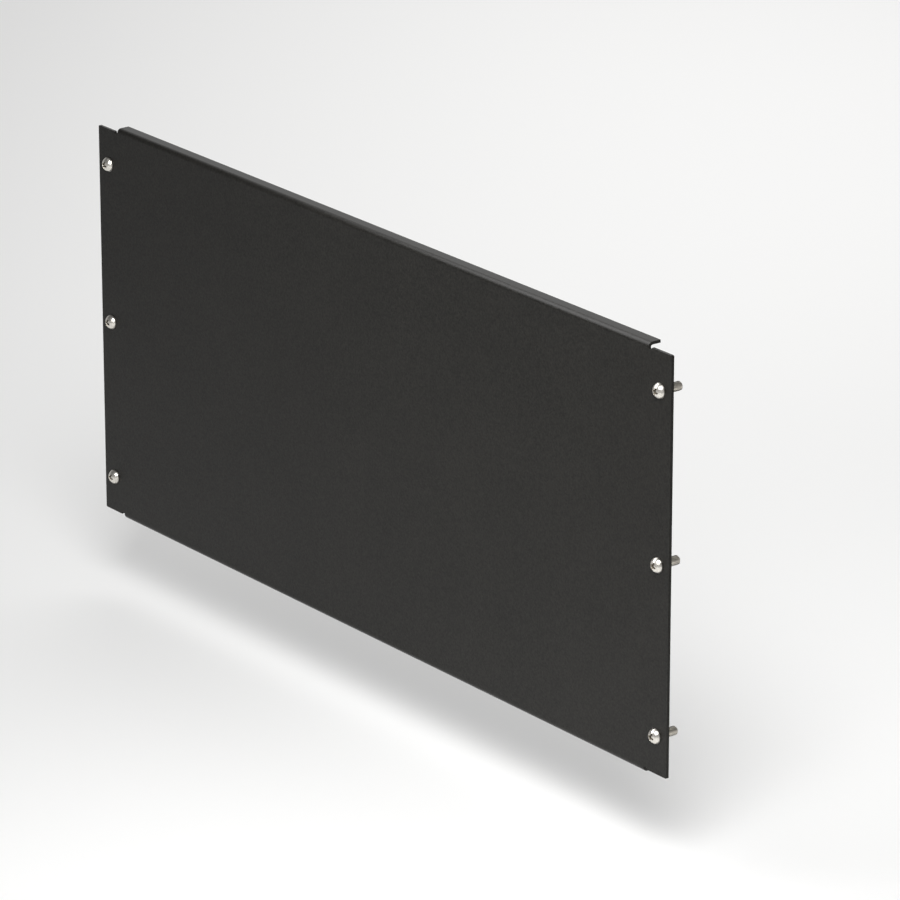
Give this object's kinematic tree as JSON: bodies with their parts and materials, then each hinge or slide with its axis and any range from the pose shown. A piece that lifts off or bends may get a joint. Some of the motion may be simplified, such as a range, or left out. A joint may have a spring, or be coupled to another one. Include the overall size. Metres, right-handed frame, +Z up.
{
  "type": "rack blanking panel",
  "caption": "Black flanged sheet-steel blanking panel that closes empty units of a 19 inch rack, with plain ears and pan head mounting screws.",
  "frame": {"origin": "centre of the mounting screw pattern, on the plane where the back of the sheet meets the rack's rails", "axes": "+X along the width, to the right as seen from the front; +Y from the front of the panel into the rack, along the screws; +Z up"},
  "size_m": [0.4826, 0.0159, 0.2214],
  "materials": {
    "black_powder_coat": "semi-gloss black powder coat with a fine even texture",
    "nickel_plated_screw": "bright nickel plate, slightly warm"
  },
  "bodies": {
    "root": {"panel": "black_powder_coat", "mounting_screws": "nickel_plated_screw"}
  },
  "joints": []
}
